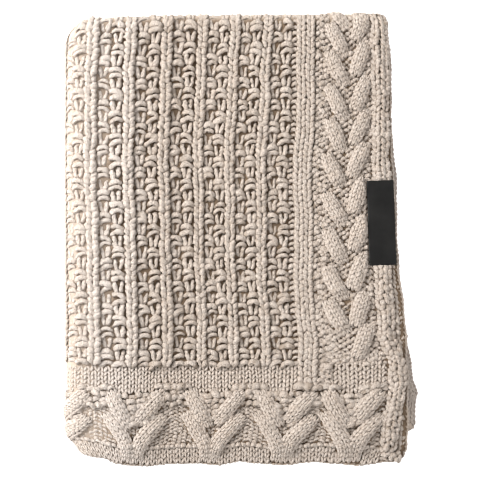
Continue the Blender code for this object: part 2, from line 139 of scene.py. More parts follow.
def left_fold():
    """The middle of a pair of layers, from the lower right round the left fold to the upper right."""
    rise = (LOFT_Z - LOW_Z) / 2
    start = LEFT_X + PAIR_HALF + FOLD_IN + FOLD_LONG
    lower = np.arange(start + SHEET_REACH, start, -RUN_STEP)
    turn = np.linspace(-math.pi / 2, -3 * math.pi / 2, TURN_STEPS + 1)
    upper = np.arange(start + RUN_STEP, start + SHEET_REACH, RUN_STEP)
    sink = smooth((upper - start - LOFT_FLAT) / LOFT_RUN)
    xs = np.concatenate([lower, start + FOLD_LONG * np.cos(turn), upper])
    zs = np.concatenate(
        [np.full(len(lower), LOW_Z), LOW_Z + rise + rise * np.sin(turn), LOFT_Z + (HIGH_Z - LOFT_Z) * sink]
    )
    run = np.concatenate([[0.0], np.cumsum(np.hypot(np.diff(xs), np.diff(zs)))])
    run -= run[len(lower) + TURN_STEPS // 2]
    along = np.stack([np.gradient(xs, run), np.gradient(zs, run)])
    along /= np.hypot(*along)
    return run, xs, zs, -along[1], along[0], run[len(lower) + TURN_STEPS]


RUN, RUN_X, RUN_Z, NORMAL_X, NORMAL_Z, HIGH_START = left_fold()
SEEN = RUN_X + NORMAL_X * PAIR_HALF
ABOVE = RUN >= 0
SKIN = np.concatenate([[0.0], np.cumsum(np.hypot(np.diff(SEEN), np.diff(RUN_Z + NORMAL_Z * PAIR_HALF)))])
SKIN -= np.interp(0.0, RUN, SKIN)
TURN = math.pi * PAIR_BEND
SKIN_TURN = math.pi * PAIR_HALF


def warp(x, y, under, inner):
    """Where a point of the plain folded sheet really lies, for the pair (under) and the layer (inner)."""
    span = smooth((x - SPREAD_FROM) / (RIGHT_X - SPREAD_FROM))
    front = follow(y, FRONT_RIGHT) - INNER_EDGE_BACK * inner
    below = follow(y, UNDER_RIGHT) - OUTER_EDGE_BACK * (1 - inner)
    new_x = x + ((1 - under) * front + under * below - RIGHT_X) * span
    across = np.clip((x - LEFT_X) / (RIGHT_X - LEFT_X), 0, 1.1)
    lip = LIP_LONG * inner * np.exp(-(((x - LIP_X) / LIP_WIDE) ** 2))
    top = follow(x, FRONT_TOP) - (TOP_C + PAIR_HALF + KNIT_PROUD) - under * UNDER_TOP_DROP * across
    hem_front = follow(x, FRONT_HEM) + INNER_HEM_UP * inner - lip
    hem_below = UNDER_HEM_LEFT + (UNDER_HEM_RIGHT - UNDER_HEM_LEFT) * across + OUTER_HEM_UP * (1 - inner)
    hem = (1 - under) * hem_front + under * hem_below - HEM_C
    new_y = y + top * smooth((y - TOP_FROM) / TOP_REACH) + hem * smooth((-y - HEM_FROM) / HEM_REACH)
    new_y = new_y - follow(x, CORNER_DROP) * smooth((y - CORNER_FROM) / CORNER_TALL)
    near = 1 - smooth((x - LEFT_X) / CORNER_REACH)
    new_x = new_x + (follow(new_y, CORNER_TOP) + follow(new_y, CORNER_HEM)) * near
    return new_x, new_y


def folded(u, c, out):
    """World points of the sheet at u across and c along, out from its middle towards its right side."""
    turn = np.clip((c - TOP_C) / PAIR_BEND, 0, math.pi)
    past = np.maximum(c - TOP_C - TURN, 0)
    under = smooth((UNDER_FROM - u) / UNDER_REACH)
    inner = smooth(turn / math.pi)
    plain_y = np.minimum(c, TOP_C) - past + np.sin(turn) * (PAIR_BEND + out)
    off = np.cos(turn) * (PAIR_BEND + out)
    plain_x = np.interp(u, RUN, RUN_X) + np.interp(u, RUN, NORMAL_X) * off
    z = np.interp(u, RUN, RUN_Z) + np.interp(u, RUN, NORMAL_Z) * off
    x, y = warp(plain_x, plain_y, under, inner)
    lift = smooth((u - HIGH_START) / LIFT_REACH)
    across = (x - LEFT_X) / (RIGHT_X - LEFT_X)
    beyond = UNDER_HEM_LEFT + (UNDER_HEM_RIGHT - UNDER_HEM_LEFT) * across - y
    z = z - OVERHANG_DROP * lift * smooth((beyond - OVERHANG_FROM) / OVERHANG_REACH)
    puff = 0.5 + 0.5 * np.sin(x / PUFF_WIDE + 1.0) * np.sin(y / PUFF_TALL - 0.6)
    z = z + PUFF_HIGH * lift * puff
    return np.stack([x, y - CENTRE_Y, z], axis=1)


def skin_point(x, y):
    """The place on the outer skin that lies at x, y on the front, seen from above."""
    x, y = np.broadcast_arrays(np.asarray(x, float), np.asarray(y, float))
    plain_x, plain_y = x.copy(), y.copy()
    for _ in range(UNWARP_STEPS):
        got_x, got_y = warp(plain_x, plain_y, 0.0, 0.0)
        plain_x = plain_x + x - got_x
        plain_y = plain_y + y - got_y
    return np.interp(plain_x, SEEN[ABOVE], SKIN[ABOVE]), plain_y


# Stitches are laid by their place on the sheet's outer skin. They lie flatter round the left fold and the top
# turn, where the cloth is drawn tight, and under the label that is sewn over them.
TABLE_GAP = 0.2 * MM
LABEL_X, LABEL_Y = 153.9 * MM, 17.8 * MM
LABEL_WIDTH, LABEL_LENGTH = 29.6 * MM, 93.0 * MM
LABEL_PLACE = [float(v) for v in skin_point(LABEL_X, LABEL_Y)]
LABEL_PRESS, LABEL_MARGIN, LABEL_EASE = 0.54, 3 * MM, 4 * MM
FOLD_FROM, FOLD_REACH, FOLD_PULL, FOLD_CALM = 26 * MM, 36 * MM, 0.68, 0.70
TURN_BEFORE, TURN_REACH, TURN_PULL = 8 * MM, 12 * MM, 0.50
DRIFT_ACROSS = ((0.6 * MM, 19 * MM), (0.4 * MM, 7.3 * MM))
DRIFT_ALONG = ((0.5 * MM, 17 * MM), (0.3 * MM, 6.1 * MM))


def under_label(across, along):
    """1 where the label holds the stitches down, 0 away from it."""
    beside = LABEL_WIDTH / 2 + LABEL_MARGIN - np.abs(across - LABEL_PLACE[0])
    before = LABEL_LENGTH / 2 + LABEL_MARGIN - np.abs(along - LABEL_PLACE[1])
    return smooth(beside / LABEL_EASE) * smooth(before / LABEL_EASE)


def near_fold(across):
    """1 round the left fold, 0 away from it."""
    return smooth((FOLD_FROM - across) / FOLD_REACH)


def drift(place, other, phase, waves):
    """A place moved by a slow and a quick wave, as soft knitting is never quite straight."""
    (slow, slow_long), (quick, quick_long) = waves
    return place + slow * np.sin(other / slow_long + phase) + quick * np.sin(other / quick_long + 5 * phase)


def on_cloth(points):
    """World points from lengths on the sheet's outer skin (across, along) and a height over its middle."""
    across, along, out = points.T
    out = out * (1 - LABEL_PRESS * under_label(across, along))
    pulled = 1 - FOLD_PULL * near_fold(across)
    pulled = pulled * (1 - TURN_PULL * smooth((along - TOP_C + TURN_BEFORE) / TURN_REACH))
    out = np.where(out > HALF_CLOTH, HALF_CLOTH + (out - HALF_CLOTH) * pulled, out)
    bend, sway = np.sin(across / (37 * MM)), np.sin(along / (41 * MM))
    across = drift(across, along, bend, DRIFT_ACROSS)
    along = drift(along, across, sway, DRIFT_ALONG)
    beyond = along - TOP_C
    c = np.where(beyond < 0, along, TOP_C + np.where(beyond < SKIN_TURN, beyond * TURN / SKIN_TURN, 0))
    c = np.where(beyond >= SKIN_TURN, TOP_C + TURN + beyond - SKIN_TURN, c)
    placed = folded(np.interp(across, SKIN, RUN), c, out)
    placed[:, 2] = np.maximum(placed[:, 2], TABLE_GAP)
    return placed


# Each stitch is one or two short lengths of yarn that go into the cloth at both ends. A shape has four rows:
# how far its middle line lies apart and ahead, how high it stands, and how thick the yarn is there.
PLAIN_LEG = (
    (0.03, 0.08, 0.16, 0.25, 0.33, 0.39, 0.42), (-0.78, -0.56, -0.26, 0.06, 0.36, 0.62, 0.80),
    (-2.2, -0.5, 0.7, 1.0, 0.6, -0.6, -2.2), (0.50, 0.86, 1.04, 1.08, 1.00, 0.82, 0.50),
)
TALL_LEG = (
    (0.07, 0.13, 0.18, 0.22, 0.25, 0.27, 0.27), (-0.52, -0.38, -0.20, 0.0, 0.18, 0.36, 0.50),
    (-0.4, 0.6, 1.0, 1.0, 0.8, 0.3, -0.9), (0.80, 1.0, 1.05, 1.0, 1.0, 0.95, 0.75),
)
BAR = (
    (-0.50, -0.40, -0.22, 0.0, 0.22, 0.40, 0.50), (-0.60, -0.26, 0.02, 0.10, 0.02, -0.26, -0.60),
    (-1.3, 0.1, 0.85, 1.0, 0.85, 0.1, -1.3), (0.62, 0.94, 1.06, 1.10, 1.06, 0.94, 0.62),
)
# How much hand knitting varies, as shares of a stitch's own measures.
GIRTH_VARIES, THICK_VARIES = 0.10, 0.09
SIDE_VARIES, BEND_VARIES = 0.025, 0.11
AHEAD_VARIES, SKEW_VARIES = 0.07, 0.16
HEIGHT_VARIES, WAVER_VARIES = 0.18, 0.08
SIDES, LUMPS, YARN_FLAT = 6, 0.165, 0.80
UNDERSIDE = 1.6 * MM
chance = np.random.RandomState(11)
laid = []


def stitches(across, along, out, width, row, heading=0.0, tilt=0.0, climb=0.0):
    """A table of stitches: place, ways ahead, apart and up, width, row. Heading turns from straight up."""
    across, along, out, width, row, heading, tilt, climb = np.broadcast_arrays(
        *(np.asarray(v, float) for v in (across, along, out, width, row, heading, tilt, climb))
    )
    ahead = np.stack([np.sin(heading), np.cos(heading), climb], axis=-1)
    apart = np.stack([np.cos(heading), -np.sin(heading), tilt], axis=-1)
    ahead = ahead / np.linalg.norm(ahead, axis=-1, keepdims=True)
    apart = apart / np.linalg.norm(apart, axis=-1, keepdims=True)
    up = np.cross(apart, ahead)
    place = np.stack([across, along, out], axis=-1)
    one = np.concatenate([place, ahead, apart, up, width[..., None], row[..., None]], axis=-1)
    return one.reshape(-1, 14)


def yarn_lines(table, shape, turn, plump, skew, wild):
    """The middle line of one length of yarn in every stitch, its radii, and the way up from the cloth."""
    apart, ahead, height, thick = (np.array(row) for row in shape)
    count, steps = len(table), len(apart)
    place, forward, side, up = table[:, 0:3], table[:, 3:6], table[:, 6:9], table[:, 9:12]
    width, row = table[:, 12:13], table[:, 13:14]
    wild = wild * (1 - FOLD_CALM * near_fold(table[:, 0:1]))
    one, each = wild * chance.randn(4, count, 1), wild * chance.randn(3, count, steps)
    skew = skew + SKEW_VARIES * wild * chance.randn(count, 1)
    size = plump[:, None] * (1 + GIRTH_VARIES * one[0])
    a = width * (turn * apart + SIDE_VARIES * one[1]) + BEND_VARIES * size * each[0]
    b = row * (ahead + AHEAD_VARIES * one[2]) + width * apart * skew
    h = size * (0.5 * height + HEIGHT_VARIES * one[3] + WAVER_VARIES * each[1])
    lines = place[:, None] + a[..., None] * side[:, None] + b[..., None] * forward[:, None]
    lines = lines + h[..., None] * up[:, None]
    return lines, size * thick * (1 + THICK_VARIES * each[2]), up


def knit(table, shape=PLAIN_LEG, plump=0.25, wild=1.0):
    """Both legs of knit stitches, a V that opens the way the knitting grows."""
    laid.append(table)
    found = [yarn_lines(table, shape, turn, plump * table[:, 12], 0.0, wild) for turn in (-1, 1)]
    return [np.concatenate(parts) for parts in zip(*found)]


def purl(table, plump=0.43, skew=0.0, wild=1.0):
    """The bar of purl stitches, an arch across the column."""
    laid.append(table)
    return yarn_lines(table, BAR, 1, plump * table[:, 13], skew, wild)


def mesh_from(name, points, groups):
    """A mesh from its points and groups of faces, each group with as many corners a face."""
    mesh = bpy.data.meshes.new(name)
    corners = np.concatenate([g.ravel() for g in groups]).astype(np.int32)
    sizes = np.concatenate([np.full(len(g), g.shape[1]) for g in groups]).astype(np.int32)
    mesh.vertices.add(len(points))
    mesh.vertices.foreach_set("co", points.astype(np.float32).ravel())
    mesh.loops.add(len(corners))
    mesh.loops.foreach_set("vertex_index", corners)
    mesh.polygons.add(len(sizes))
    mesh.polygons.foreach_set("loop_start", np.concatenate([[0], np.cumsum(sizes)[:-1]]).astype(np.int32))
    mesh.polygons.foreach_set("loop_total", sizes)
    mesh.polygons.foreach_set("use_smooth", np.ones(len(sizes), bool))
    mesh.update(calc_edges=True)
    piece = bpy.data.objects.new(name, mesh)
    bpy.context.scene.collection.objects.link(piece)
    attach(piece, "root")
    return piece


def tube_faces(count, steps):
    """Faces of many lengths of yarn: the walls, both ends, and the step and side that each wall starts at."""
    k, i = np.meshgrid(np.arange(steps - 1), np.arange(SIDES), indexing="ij")
    j = (i + 1) % SIDES
    wall = np.stack([k * SIDES + i, (k + 1) * SIDES + i, (k + 1) * SIDES + j, k * SIDES + j], axis=-1)
    start = np.arange(count)[:, None, None] * steps * SIDES
    walls = start + wall.reshape(1, -1, 4)
    near = start[:, :, 0] + np.arange(SIDES)
    far = start[:, :, 0] + (steps - 1) * SIDES + np.arange(SIDES)[::-1]
    return walls.reshape(-1, 4), near, far, k.ravel(), i.ravel()


def wind_twist(piece, lines, k, i):
    """The yarn's UV: once round it, and along it in centimetres, for the twist of its plies."""
    count = len(lines)
    reach = np.cumsum(np.linalg.norm(np.diff(lines, axis=1), axis=2), axis=1)
    length = np.concatenate([np.zeros((count, 1)), reach], axis=1)
    around = np.stack([i, i, i + 1, i + 1], axis=-1) / SIDES
    ends = np.stack([k, k + 1, k + 1, k], axis=-1)
    wall_uv = [np.broadcast_to(around, (count,) + around.shape), length[:, ends] / (10 * MM)]
    wall_uv = np.stack(wall_uv, axis=-1).reshape(-1, 2)
    cap_uv = np.zeros((2 * count * SIDES, 2))
    layer = piece.data.uv_layers.new(name="twist")
    layer.data.foreach_set("uv", np.concatenate([wall_uv, cap_uv]).astype(np.float32).ravel())


def paint(piece, colours):
    """Gives every point its colour in the attribute that the finishes read."""
    attribute = piece.data.color_attributes.new("lie", "FLOAT_COLOR", "POINT")
    attribute.data.foreach_set("color", colours.astype(np.float32).ravel())


# Near the left fold the painted shade on the yarn is eased: where it starts, where it is fully eased, and by
# how much.
FOLD_PALE, FOLD_PALE_FULL, FOLD_PALENESS = 92 * MM, 10 * MM, 0.78
# Painted light near the left fold: where it starts, how far it grows, and how much it eases again at the very
# edge.
PAINTED_LIGHT_FROM, PAINTED_LIGHT_REACH = 118 * MM, 55 * MM
PAINTED_LIGHT_EASE_FROM, PAINTED_LIGHT_EASE_REACH, PAINTED_LIGHT_EASE = 52 * MM, 30 * MM, 0.65
# How painted shade falls on the yarn: towards its thin ends and on its underside.
THIN_END, THIN_EASE = 0.5, 2.2
OPEN_LEVEL, OPEN_SWING = 0.70, 0.75


def paint_yarn(piece, lines, thick, turn):
    """Red is how open the yarn lies to the light, for its painted shade, green its own tone, and blue its
    share of painted light near the left fold.
    """
    across = lines[:, :, 0]
    # Painted shade: darker towards the yarn's thin ends and on its underside, eased round the left fold.
    ease = np.clip((thick / thick.max(axis=1, keepdims=True) - THIN_END) * THIN_EASE, 0, 1)
    open_side = np.clip(OPEN_LEVEL + OPEN_SWING * np.sin(turn), 0, 1) * ease[..., None]
    pulled = smooth((FOLD_PALE - across) / (FOLD_PALE - FOLD_PALE_FULL))
    open_side = 1 - (1 - open_side) * (1 - FOLD_PALENESS * pulled[..., None])
    tone = np.broadcast_to(chance.rand(len(lines), 1, 1), open_side.shape)
    # Painted light: the yarn is painted paler towards the left fold, a little less at its very edge, for the
    # light that falls there.
    painted_light = smooth((PAINTED_LIGHT_FROM - across) / PAINTED_LIGHT_REACH)
    painted_light = painted_light * (1 - PAINTED_LIGHT_EASE * smooth((PAINTED_LIGHT_EASE_FROM - across) / PAINTED_LIGHT_EASE_REACH))
    painted_light = np.broadcast_to(painted_light[..., None], open_side.shape)
    paint(piece, np.stack([open_side, tone, painted_light, np.ones_like(tone)], axis=-1))


def yarn_piece(name, parts):
    """All the yarn of one part of the knit as one mesh."""
    lines, thick, up = [np.concatenate(p) for p in zip(*parts)]
    middle = on_cloth(lines.reshape(-1, 3)).reshape(lines.shape)
    clear = middle[:, :, 2].mean(axis=1) > UNDERSIDE
    lines, thick, up = lines[clear], thick[clear], up[clear]
    count, steps = thick.shape
    ahead = np.gradient(lines, axis=1)
    ahead /= np.linalg.norm(ahead, axis=2, keepdims=True)
    side = np.cross(ahead, up[:, None, :])
    side /= np.maximum(np.linalg.norm(side, axis=2, keepdims=True), 1e-6)
    top = np.cross(side, ahead)
    turn = 2 * math.pi * np.arange(SIDES) / SIDES
    ring = np.cos(turn)[:, None] * side[:, :, None] + YARN_FLAT * np.sin(turn)[:, None] * top[:, :, None]
    lumpy = thick[:, :, None] * (1 + LUMPS * chance.randn(count, steps, SIDES))
    points = on_cloth((lines[:, :, None] + lumpy[..., None] * ring).reshape(-1, 3))
    walls, near, far, k, i = tube_faces(count, steps)
    piece = mesh_from(name, points, [walls, near, far])
    wind_twist(piece, lines, k, i)
    paint_yarn(piece, lines, thick, turn)
    piece.data.materials.append(yarn)
    return piece


# The yarn is softly spun from wool and cotton: a mottled heather with twisted plies and loose fibre. Painted
# shade darkens it on its underside and where it goes into the cloth, and painted light makes it paler near
# the left fold.
HEATHER_DARK, HEATHER_PALE = (0.74, 0.615, 0.515, 1), (0.89, 0.78, 0.69, 1)
STITCH_PALE = (0.93, 0.83, 0.745, 1)
FLECK, GRAIN = (0.55, 0.43, 0.335, 1), (0.46, 0.35, 0.27, 1)
PAINTED_LIGHT_TINT, PAINTED_SHADE = (0.92, 0.81, 0.725, 1), (0.35, 0.255, 0.175, 1)
TONE_SHARE = 0.45
FLECK_FROM, FLECK_SHARE = 0.40, 1.9
GRAIN_FROM, GRAIN_SHARE = 0.50, 1.3
TWIST_ROUND, TWIST_ALONG, PLY_HIGH = 3.0, 1.6, 0.30
SLUB_HIGH, FIBRE_HIGH = 3.0, 1.6


def node(tree, kind, **values):
    """A shader node with its settings, or the values of its inputs, by name."""
    made = tree.nodes.new(kind)
    for name, value in values.items():
        if hasattr(made, name):
            setattr(made, name, value)
        else:
            made.inputs[name.replace("_", " ")].default_value = value
    return made


def pattern(tree, kind, **values):
    """A texture that lies on the piece's own coordinates."""
    made = node(tree, kind, **values)
    tree.links.new(tree.nodes.new("ShaderNodeTexCoord").outputs["Object"], made.inputs["Vector"])
    return made


def blend_colours(tree, share, low, high):
    """A mix of two colours, all of low at share 0 and all of high at share 1."""
    mix = tree.nodes.new("ShaderNodeMix")
    mix.data_type = "RGBA"
    for socket, value in ((mix.inputs[0], share), (mix.inputs[6], low), (mix.inputs[7], high)):
        if isinstance(value, (tuple, float)):
            socket.default_value = value
        else:
            tree.links.new(value, socket)
    return mix.outputs[2]


def maths(tree, operation, first, second):
    """A sum, product or other operation on numbers or sockets."""
    made = tree.nodes.new("ShaderNodeMath")
    made.operation = operation
    for socket, value in zip(made.inputs, (first, second)):
        if isinstance(value, float):
            socket.default_value = value
        else:
            tree.links.new(value, socket)
    return made.outputs[0]


def finish_of(name):
    """A new material, its node tree and its shader."""
    material = bpy.data.materials.new(name)
    material.use_nodes = True
    return material, material.node_tree, material.node_tree.nodes["Principled BSDF"]


def lie_of(tree):
    """The parts of the colour that paint() gave the points."""
    parts = tree.nodes.new("ShaderNodeSeparateColor")
    tree.links.new(node(tree, "ShaderNodeVertexColor", layer_name="lie").outputs["Color"], parts.inputs[0])
    return parts.outputs


def roughen(tree, shader, height, strength, depth, pattern_value, least, spread):
    """Gives a shader its bump from a height, and its roughness from a pattern."""
    bump = node(tree, "ShaderNodeBump", Strength=strength, Distance=depth)
    tree.links.new(height, bump.inputs["Height"])
    tree.links.new(bump.outputs[0], shader.inputs["Normal"])
    rough = maths(tree, "ADD", maths(tree, "MULTIPLY", pattern_value, spread), least)
    tree.links.new(rough, shader.inputs["Roughness"])


def yarn_finish():
    """Oatmeal yarn, coloured from its heather to a painted shade between stitches and a painted light near
    the left fold, and bumped by its twist.
    """
    material, tree, shader = finish_of("oatmeal_yarn")
    lie = lie_of(tree)
    heather = pattern(tree, "ShaderNodeTexNoise", Scale=55.0, Detail=4.0, Roughness=0.6).outputs["Fac"]
    slub = pattern(tree, "ShaderNodeTexNoise", Scale=520.0, Detail=3.0, Roughness=0.7).outputs["Fac"]
    fibre = pattern(tree, "ShaderNodeTexNoise", Scale=950.0, Detail=3.0, Roughness=0.7).outputs["Fac"]
    base = blend_colours(tree, heather, HEATHER_DARK, HEATHER_PALE)
    toned = blend_colours(tree, maths(tree, "MULTIPLY", lie[1], TONE_SHARE), base, STITCH_PALE)
    spots = maths(tree, "MULTIPLY", maths(tree, "SUBTRACT", slub, FLECK_FROM), FLECK_SHARE)
    flecked = blend_colours(tree, spots, toned, FLECK)
    grain = maths(tree, "MULTIPLY", maths(tree, "SUBTRACT", fibre, GRAIN_FROM), GRAIN_SHARE)
    grained = blend_colours(tree, grain, flecked, GRAIN)
    # Painted light: the yarn turns to a paler colour near the left fold.
    painted_lit = blend_colours(tree, lie[2], grained, PAINTED_LIGHT_TINT)
    # Painted shade: the yarn darkens to its deep colour where it lies closed to the light.
    tree.links.new(blend_colours(tree, lie[0], PAINTED_SHADE, painted_lit), shader.inputs["Base Color"])
    twist = node(tree, "ShaderNodeUVMap", uv_map="twist")
    ways = tree.nodes.new("ShaderNodeSeparateXYZ")
    tree.links.new(twist.outputs[0], ways.inputs[0])
    round_it = maths(tree, "MULTIPLY", ways.outputs[0], TWIST_ROUND)
    spiral = maths(tree, "ADD", round_it, maths(tree, "MULTIPLY", ways.outputs[1], TWIST_ALONG))
    plies = maths(tree, "SINE", maths(tree, "MULTIPLY", spiral, 2 * math.pi), 0.0)
    lumps = maths(tree, "MULTIPLY", slub, SLUB_HIGH)
    rough_spun = maths(tree, "ADD", lumps, maths(tree, "MULTIPLY", fibre, FIBRE_HIGH))
    height = maths(tree, "ADD", maths(tree, "MULTIPLY", plies, PLY_HIGH), rough_spun)
    roughen(tree, shader, height, 1.0, 1.1 * MM, fibre, 0.80, 0.16)
    shader.inputs["Sheen Weight"].default_value = 0.18
    shader.inputs["Sheen Roughness"].default_value = 0.55
    shader.inputs["Specular IOR Level"].default_value = 0.22
    return material


yarn = yarn_finish()


def bowed(x, y):
    """X at height y of a column that stands at x at half height, and leans with the cloth."""
    left, middle, rib = follow(y, BOW_LEFT), follow(y, BOW_MIDDLE), follow(y, BOW_RIB)
    share = np.clip((x - BOW_LEFT_X) / (BOW_MIDDLE_X - BOW_LEFT_X), 0, 1)
    late = np.clip((x - BOW_MIDDLE_X) / (BOW_RIB_X - BOW_MIDDLE_X), 0, 1)
    return x + (left + (middle - left) * share) * (1 - late) + rib * late


def upright(x, rows):
    """Skin places of a column that stands at x on the front, and its heading, at rows along the sheet."""
    seen_y = np.minimum(rows, TOP_C)
    across, _ = skin_point(bowed(x, seen_y), seen_y)
    return across, np.arctan(np.gradient(across, rows))


field_rows = ROW_START + ROW * np.arange(-26, 36)
field_rows = field_rows[field_rows > FIELD_LOW + 0.4 * ROW]
field_rows = field_rows[field_rows < TOP_C + SKIN_TURN + 6 * MM]
row_number = np.round((field_rows - ROW_START) / ROW).astype(int)
first_spine, _ = upright(SPINES[0] * MM, field_rows)
units = [(first_spine - FOLD_REPEAT * k, first_spine - FOLD_REPEAT * (k - 1)) for k in (3, 2, 1)]
for left, right in zip(SPINES, SPINES[1:]):
    units.append((upright(left * MM, field_rows)[0], upright(right * MM, field_rows)[0]))


def column(left, right, share, wide):
    """Middle, width and heading of a column at its share of the way from spine to spine."""
    middle = left + share * (right - left)
    return middle, wide * (right - left) * COLUMN_LAP, np.arctan(np.gradient(middle, field_rows))


field_parts = []
for left, right in units:
    middle, width, heading = column(left, right, *SPINE_COLUMN)
    spine = stitches(middle, field_rows, HALF_CLOTH + SPINE_UP, width, ROW, heading)
    field_parts.append(knit(spine, plump=SPINE_PLUMP, wild=0.9))
    for share, wide, low_bar, lift in BAR_COLUMNS:
        middle, width, heading = column(left, right, share, wide)
        legs = stitches(middle, field_rows + ROW / 2, HALF_CLOTH + LEG_UP + lift, width, 2 * ROW, heading)
        legs = legs[row_number % 4 == (low_bar + 2) % 4]
        field_parts.append(knit(legs, TALL_LEG, LEG_PLUMP, wild=0.9))
        for k, (up, narrow, plump, skew) in enumerate(BARS):
            bars = stitches(middle, field_rows, HALF_CLOTH + up + lift, width * narrow, ROW, heading)
            chosen = row_number % 4 == (low_bar + k) % 4
            if k == 0:
                chosen = chosen | (field_rows == field_rows[0])
            field_parts.append(purl(bars[chosen], plump, skew))
last_bar, heading = upright(LAST_BAR_X, field_rows)
last_bars = stitches(last_bar, field_rows, HALF_CLOTH + 0.3 * MM, LAST_BAR_WIDE, ROW * 0.8, heading)
field_parts.append(purl(last_bars))
field = yarn_piece("field", field_parts)

# The rib between the field and the plait: two plain columns that stand up, with a narrow gutter of purl
# stitches on the right, deep enough to stay in shadow. It is knitted in one with the sheet.
RIB_X = (62.9, 72.7)
RIB_WIDE, RIB_UP = 9.9 * MM, 2.0 * MM
GUTTER_X = (81.6, 86.2, 90.6)
GUTTER_WIDE, GUTTER_UP = 5.0 * MM, 0.2 * MM
RIB_LOW = -163.5 * MM
rib_rows = ROW_START + ROW * np.arange(-30, 46)
rib_rows = rib_rows[(rib_rows > RIB_LOW) & (rib_rows < field_rows[-1] + 0.5 * ROW)]
rib_parts = []
for x in RIB_X:
    middle, heading = upright(x * MM, rib_rows)
    table = stitches(middle, rib_rows, HALF_CLOTH + RIB_UP, RIB_WIDE, ROW, heading)
    rib_parts.append(knit(table, plump=0.235, wild=0.5))
for x in GUTTER_X:
    middle, heading = upright(x * MM, rib_rows)
    stepped = rib_rows + chance.choice((0.0, ROW / 2))
    table = stitches(middle, stepped, HALF_CLOTH + GUTTER_UP, GUTTER_WIDE, ROW, heading)
    rib_parts.append(purl(table, plump=0.40, skew=0.2, wild=1.3))
rib = yarn_piece("rib", rib_parts)

# The plait: slanting strands of plain stitches that cross over one another at the middle. Each comes up from
# under the next one, stands well up and goes back under at its outer end. Purl stitches fill beside them.
CABLE_ROW = 5.2 * MM
PLAIT_LEFT_TOPS = (272.0, 238.5, 207.0, 168.5, 133.0, 94.5, 52.0, 12.0, -28.5, -66.0)
PLAIT_RIGHT_TOPS = (257.0, 219.0, 179.5, 142.0, 105.5, 67.0, 25.5, -16.5, -57.0, -92.5)
PLAIT_LEFT = ((93.5, -1.0), (101.5, -18.5), (112.0, -38.0))
PLAIT_RIGHT = ((136.0, 0.0), (128.4, -18.7), (121.5, -38.0))
PLAIT_LEFT_ENDS, PLAIT_RIGHT_ENDS = (0.25, 0.70), (0.75, 0.35)
PLAIT_HALF, PLAIT_RISE, PLAIT_PLUMP = 7.5 * MM, 6.0 * MM, 0.30
PLAIT_LOW = -131.0
PLAIT_GROUND_X = (94.0, 98.8, 103.6, 108.4, 113.2, 118.0, 122.8, 127.6, 132.4, 137.2, 142.0)
PLAIT_GROUND_WIDE, PLAIT_GROUND_UP = 5.2 * MM, 0.2 * MM
STRAND_COLUMNS, STRAND_SUNK = 3, 0.4 * MM
STRAND_SLIM, STRAND_SWELL, STRAND_ARCH, STRAND_LAP = 0.74, 0.26, 1.08, 1.08
STRAND_COMES_UP, STRAND_GOES_UNDER = 0.35, 0.30
strand_paths = []


def cable_strand(path, half, rise, ends, plump):
    """Stitches of one strand along a smooth path, arched across, and lower at its first and its last end."""
    path = np.array(path)
    reach = np.concatenate([[0.0], np.cumsum(np.hypot(*np.diff(path, axis=0).T))])
    count = max(3, round(reach[-1] / CABLE_ROW))
    t = (np.arange(count) + 0.5) / count
    across, along = (np.polyval(np.polyfit(reach / reach[-1], line, len(path) - 1), t) for line in path.T)
    way_x, way_y = np.gradient(across), np.gradient(along)
    heading, row = np.arctan2(way_x, way_y), np.hypot(way_x, way_y)
    lift = rise * (ends[0] + (1 - ends[0]) * smooth(t / STRAND_COMES_UP))
    lift = lift * (ends[1] + (1 - ends[1]) * smooth((1 - t) / STRAND_GOES_UNDER))
    girth = half * (STRAND_SLIM + STRAND_SWELL * np.sin(math.pi * np.clip(t * 0.9 + 0.05, 0, 1)))
    strand_paths.append(np.stack([across, along, girth], axis=1))
    rows = []
    for k in range(STRAND_COLUMNS):
        off = girth * (2 * (k + 0.5) / STRAND_COLUMNS - 1)
        share = off / (girth * STRAND_ARCH)
        out = HALF_CLOTH + lift * np.sqrt(1 - share**2) - STRAND_SUNK
        tilt = -lift / (girth * STRAND_ARCH) * share / np.sqrt(np.maximum(1 - share**2, 0.08))
        width = 2.1 * girth / STRAND_COLUMNS * np.sqrt(1 + np.minimum(tilt**2, 0.7))
        x, y = across + off * np.cos(heading), along - off * np.sin(heading)
        rows.append(stitches(x, y, out, width, row * STRAND_LAP, heading, tilt, np.gradient(out) / row))
    return knit(np.concatenate(rows), plump=plump, wild=0.55)


def clear_of_strands(places, share=0.66):
    """True for places that no cable strand covers."""
    paths = np.concatenate(strand_paths)
    away = np.hypot(places[:, :1] - paths[:, 0], places[:, 1:] - paths[:, 1])
    return (away > share * paths[:, 2]).all(axis=1)


def plait_place(x, y):
    """The skin place of a strand's end, which leans with the columns and runs on over the top fold."""
    across, along = skin_point(bowed(x * MM, y * MM), min(y * MM, TOP_C))
    return float(across), float(along) + max(0.0, y * MM - TOP_C)


plait_parts = []
for tops, path, ends in (
    (PLAIT_LEFT_TOPS, PLAIT_LEFT, PLAIT_LEFT_ENDS), (PLAIT_RIGHT_TOPS, PLAIT_RIGHT, PLAIT_RIGHT_ENDS),
):
    for top in tops:
        places = [plait_place(x, max(top + y, PLAIT_LOW)) for x, y in path[::-1]]
        plait_parts.append(cable_strand(places, PLAIT_HALF, PLAIT_RISE, ends, PLAIT_PLUMP))
ground_places = []
for k, x in enumerate(PLAIT_GROUND_X):
    ground_places.append(np.stack([upright(x * MM, field_rows)[0], field_rows + ROW / 2 * (k % 2)], axis=1))
ground_places = np.concatenate(ground_places)
ground_places = ground_places[clear_of_strands(ground_places)]
table = stitches(*ground_places.T, HALF_CLOTH + PLAIT_GROUND_UP, PLAIT_GROUND_WIDE, ROW * 0.80)
plait_parts.append(purl(table, plump=0.40, skew=0.2, wild=1.4))
plait = yarn_piece("plait", plait_parts)

